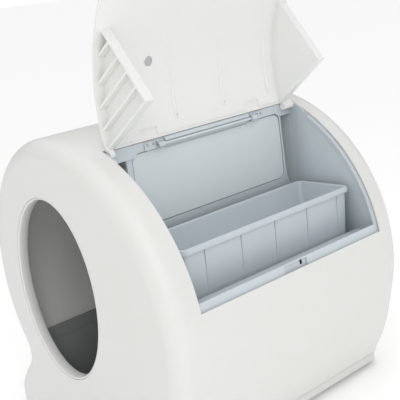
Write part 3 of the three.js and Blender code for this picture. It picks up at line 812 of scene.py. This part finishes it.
def stiffener(y):
    """Low round ridge inside the lid that swells towards a round end."""
    rings = []
    for k in range(RIDGE["steps"] + 1):
        w = k / RIDGE["steps"]
        angle = radians(RIDGE["low"] + (RIDGE["high"] - RIDGE["low"]) * w)
        end = 0.8 if k == RIDGE["steps"] else 1
        height, half = (1.0 + 2.0 * w) * end, (1.2 + 1.8 * w) * end
        ring = []
        for t in (pi * j / 12 for j in range(13)):
            depth = INSIDE + 0.6 - (height + 0.6) * sin(t)
            ring.append((depth * cos(angle), y + half * cos(t), depth * sin(angle)))
        rings.append(ring)
    return loft(rings)


def flange(rear):
    """Boxed, ribbed flange at one end of the lid, with the lug of its pin."""
    def span(a, b):
        return (mirrored(b), mirrored(a)) if rear else (a, b)

    x, z, strip = FLANGE["x"], FLANGE["z"], FLANGE["strip"]
    reach = INSIDE + 1
    low, high = degrees(asin(z / reach)), degrees(atan2(sqrt(reach ** 2 - x ** 2), x))
    plan = [(x, z), *arc(reach, low, high, 40)]
    core = [(x + strip, z + strip), (R + 2, z + strip), (R + 2, R + 2), (x + strip, R + 2)]
    w0, w1 = span(*FLANGE["wall"])
    o0, o1 = span(FLANGE["outer"], FLANGE["wall"][0] + 1)
    parts = [prism("Y", plan, w0, w1),
             cut(prism("Y", plan, o0, o1), prism("Y", core, o0 - 1, o1 + 1))]
    for rib in FLANGE_RIBS:
        top = sqrt(reach ** 2 - (rib + RIB[1]) ** 2)
        parts.append(box(rib + RIB[0], o0, z + 1, rib + RIB[1], o1, top))
    lean = Matrix.Identity(4)
    lean[1][2] = (LEAN_REAR if rear else LEAN_FRONT) / (LID_AXIS[1] - z)
    lean[1][3] = -z * lean[1][2]
    for part in parts:
        part.data.transform(lean)
    y0, y1 = (mirrored(25.8), mirrored(4.6)) if rear else (4.6, 12.5)
    neck = [(LID_AXIS[0], LID_AXIS[1] - LUG), (114, 229.5), (114, 231), (109.2, 235.2), (104.5, 238.1)]
    return [*parts, rod_y(*LID_AXIS, LUG, y0, y1), prism("Y", neck, y0, y1)]


def lid():
    skin = prism("Y", sector(INSIDE, R, *LID_ANGLES, 56), *LID_Y)
    ridges = [stiffener(y) for y in RIDGE_Y]
    seat = radial(*MAGNET, [(8.0, INSIDE + 1), (8.0, INSIDE - 0.3), (7.4, INSIDE - 0.6),
                            (6.9, INSIDE - 0.6)])
    whole = join(skin, *flange(rear=False), *flange(rear=True), *ridges, seat)
    step = prism("Y", sector(INSIDE - 0.9, INSIDE + 1.7, STEP["angle"], 66, 4),
                 STEP["y"], mirrored(STEP["y"]))
    pads = [prism("Y", sector(INSIDE - 1, INSIDE + 1.7, 61.2, 66, 8), a, b) for a, b in PADS]
    bore = radial(*MAGNET, [(6.8, INSIDE - 3), (6.8, INSIDE + 1.2)])
    pins = [rod_y(*LID_AXIS, PIN_BORE, a, b) for a, b in ((0, 14), (mirrored(14), LENGTH))]
    dimple = [(DIMPLE["radius"], INSIDE - 4), (DIMPLE["radius"], INSIDE - 0.8)]
    dimples = [radial(DIMPLE["angle"], y, dimple, 20) for y in RIDGE_Y]
    whole = cut(whole, step, *pads, bore, *pins, *dimples)
    piece("lid_moulding", whole, "lid", LID_WHITE, ["lid_shell"], bevel=0.45,
          place=LID_PLACE)


def latch_hook():
    """Tongue on the lid's inside that goes through the slot in the lip."""
    outline = [(247.8, 42.9), (248.2, 42.5), (R, 42.5), (R, 45), (249.4, 45), (247.8, 44.2)]
    whole = common(prism("Y", outline, CATCH["y"] - 1.8, CATCH["y"] + 1.8),
                   prism("Y", circle(0, 0, INSIDE - GAP, 240), CATCH["y"] - 9, CATCH["y"] + 9))
    piece("hook_tongue", whole, "lid", LID_WHITE, ["lid_latch_hook"], bevel=0.3,
          place=LID_PLACE)


lid()
piece("magnet_disc", radial(*MAGNET, [(6.5, INSIDE + 0.9), (6.5, INSIDE - 0.2), (6.1, INSIDE - 0.6),
                                      (1.0, INSIDE - 0.6)]),
      "lid", MAGNET_GREY, ["lid_magnet"], flatten=0, place=LID_PLACE)
for label, y_low, y_high in (("front", 0.8, 13.7), ("rear", mirrored(13.7), mirrored(0.8))):
    piece(f"pin_{label}", rod_y(*LID_AXIS, PIN, y_low, y_high, 28, chamfer=0.4), "lid", STEEL,
          [f"lid_pin_{label}"], flatten=0, place=LID_PLACE)
latch_hook()


# ---- tray, base and feet -----------------------------------------------------------------------
BASE = {"x0": -174.0, "x1": 206.0, "y0": FRONT + 3, "y1": BACK - 3}
FOOT_INSET = 34
FLOOR_Z = -208.0


def litter_tray():
    x0, x1, y0, y1 = -123.5, 186.0, -40.0, 409.0
    bottom, rim, step, entry_rim = -195.6, -61.0, -84.0, -109.0
    ring = tub_rings(x0, y0, x1, y1)
    upper = ((0, rim - 6, 24), (0, rim - 1.2, 24), (0.5, rim - 0.3, 23.5), (1.2, rim, 23),
             (2.3, rim - 0.3, 22.3), (3, rim - 1.2, 22), (3, step + 1.2, 22), (3.6, step + 0.2, 22),
             (5, step - 0.2, 22), (7, step - 0.4, 24), (8, step - 1.6, 24), (8, bottom + 26, 24))
    rings = [ring(d, bottom + h, 24 - d) for d, h in quarter(6)]
    rings += [ring(*row) for row in upper]
    rings += [ring(8 + d, bottom + 4 + h, 24 - 0.8 * d) for d, h in quarter(20, 6)[-2::-1]]
    low_entry = prism("X", [(y0 - 1, entry_rim), (y0 + 9, entry_rim), (y0 + 9, rim + 1), (y0 - 1, rim + 1)],
                      x0 - 1, x1 + 1)
    piece("tray_tub", cut(loft(rings), low_entry), "base", TRAY_GREY, ["litter_tray"],
          bevel=0.5, limit=50)


def base_tub():
    bottom, ledge, top = -201.0, -183.0, -160.0
    ring = tub_rings(BASE["x0"], BASE["y0"], BASE["x1"], BASE["y1"])
    outer = ((3.0, bottom, 23), (0.9, bottom + 0.9, 25.1), (0, bottom + 3, 26), (0, ledge - 1, 26),
             (0.3, ledge - 0.3, 25.7), (1, ledge, 25))
    wall_outside = ((2.5, ledge, 23.5), (2.5, top - 0.8, 22), (3.3, top, 21.2))
    wall_inside = ((5, top - 0.8, 20), (5, bottom + 8, 20), (8, bottom + 5, 17))
    rings = [ring(*row) for row in outer]
    rings += [ring(*row, left=9.5, right=11.5) for row in wall_outside]
    rings += [ring(4.2, top, 20.5, left=10.5, right=12.5)]
    rings += [ring(*row, left=10, right=12) for row in wall_inside]
    piece("base_moulding", loft(rings), "base", BASE_WHITE, ["base_tub"], flatten=0, limit=45)


def foot(end, side, x, y):
    profile = [(2.0, 1.1), (5.0, 1.1), (5.6, 0.2), (7.4, 0.2), (8.0, 1.0), (9.4, 1.0), (10.0, 0.1),
               (12.0, 0.0), (12.9, 0.5), (14.9, 6.0), (14.9, 6.7), (2.0, 6.7)]
    piece(f"pad_{end}_{side}", turned(profile, (x, y, FLOOR_Z), "Z"), "base", RUBBER,
          [f"foot_{end}_{side}"], flatten=0)


litter_tray()
base_tub()
for foot_side, foot_x in (("left", BASE["x0"] + FOOT_INSET), ("right", BASE["x1"] - FOOT_INSET)):
    for foot_end, foot_y in (("front", BASE["y0"] + FOOT_INSET), ("rear", BASE["y1"] - FOOT_INSET)):
        foot(foot_end, foot_side, foot_x, foot_y)


# ---- floor and light ---------------------------------------------------------------------------
SKY = 1.30                         # strength overhead
SKY_STEPS = ((0.0, 0.80), (0.045, 0.80), (0.10, 0.06), (1.0, 1.0))   # height, share of that strength
FLOOR_HALF = 90                    # metres
FLOOR_GLOW = 0.16                  # the floor is a lit table
AIM = Vector((0.0, 0.0, 0.3))
LIGHTS = (                         # name, place, size, power
    ("key", (2.1, -1.5, 1.9), 1.6, 16.5),
    ("low", (2.3, -1.7, 0.95), 1.4, 4.2),
    ("right", (2.9, 0.3, 1.2), 1.6, 1.2),
)


def floor():
    mesh = bpy.data.meshes.new("floor")
    half = FLOOR_HALF
    mesh.from_pydata([(-half, -half, 0), (half, -half, 0), (half, half, 0), (-half, half, 0)], [],
                     [(0, 1, 2, 3)])
    # The paper darkens next to the object as painted shade, a contact shadow from the hollow darkening.
    paper = moulded("floor_paper", (0.93, 0.93, 0.93), roughness=0.8, vary=0.004, grain=0.02,
                    worn=0.0, specular=0.2, tint=NEUTRAL)
    glow = next(n for n in paper.node_tree.nodes if n.type == "BSDF_PRINCIPLED")
    glow.inputs["Emission Color"].default_value = (1, 1, 1, 1)
    glow.inputs["Emission Strength"].default_value = FLOOR_GLOW
    mesh.materials.append(paper)
    in_scene("floor", mesh)


def sky():
    """White surroundings whose strength depends on the height above the horizon."""
    world = bpy.data.worlds.new("studio")
    world.use_nodes = True
    tree = world.node_tree
    background = tree.nodes["Background"]
    parts = node(tree, "SeparateXYZ")
    tree.links.new(node(tree, "TexCoord").outputs["Generated"], parts.inputs[0])
    ramp = node(tree, "ValToRGB")
    steps = ramp.color_ramp.elements
    while len(steps) < len(SKY_STEPS):
        steps.new(0.5)
    for step, (height, share) in zip(steps, SKY_STEPS):
        step.position, step.color = height, (share, share, share, 1)
    lift = node(tree, "Math", operation="MULTIPLY")
    lift.inputs[1].default_value = SKY
    tree.links.new(parts.outputs["Z"], ramp.inputs["Fac"])
    tree.links.new(ramp.outputs["Color"], lift.inputs[0])
    tree.links.new(lift.outputs[0], background.inputs["Strength"])
    background.inputs["Color"].default_value = (1, 1, 1, 1)
    bpy.context.scene.world = world


def lamps():
    for name, spot, size, power in LIGHTS:
        data = bpy.data.lights.new(name, "AREA")
        data.size, data.energy = size, power
        lamp = in_scene(name, data)
        lamp.location = spot
        lamp.rotation_mode = "QUATERNION"
        lamp.rotation_quaternion = (AIM - Vector(spot)).to_track_quat("-Z", "Y")


def studio():
    scene = bpy.context.scene
    scene.view_settings.view_transform = "Standard"
    scene.view_settings.look = "None"
    scene.cycles.max_bounces = 16
    scene.cycles.diffuse_bounces = 12
    floor()
    sky()
    lamps()


studio()
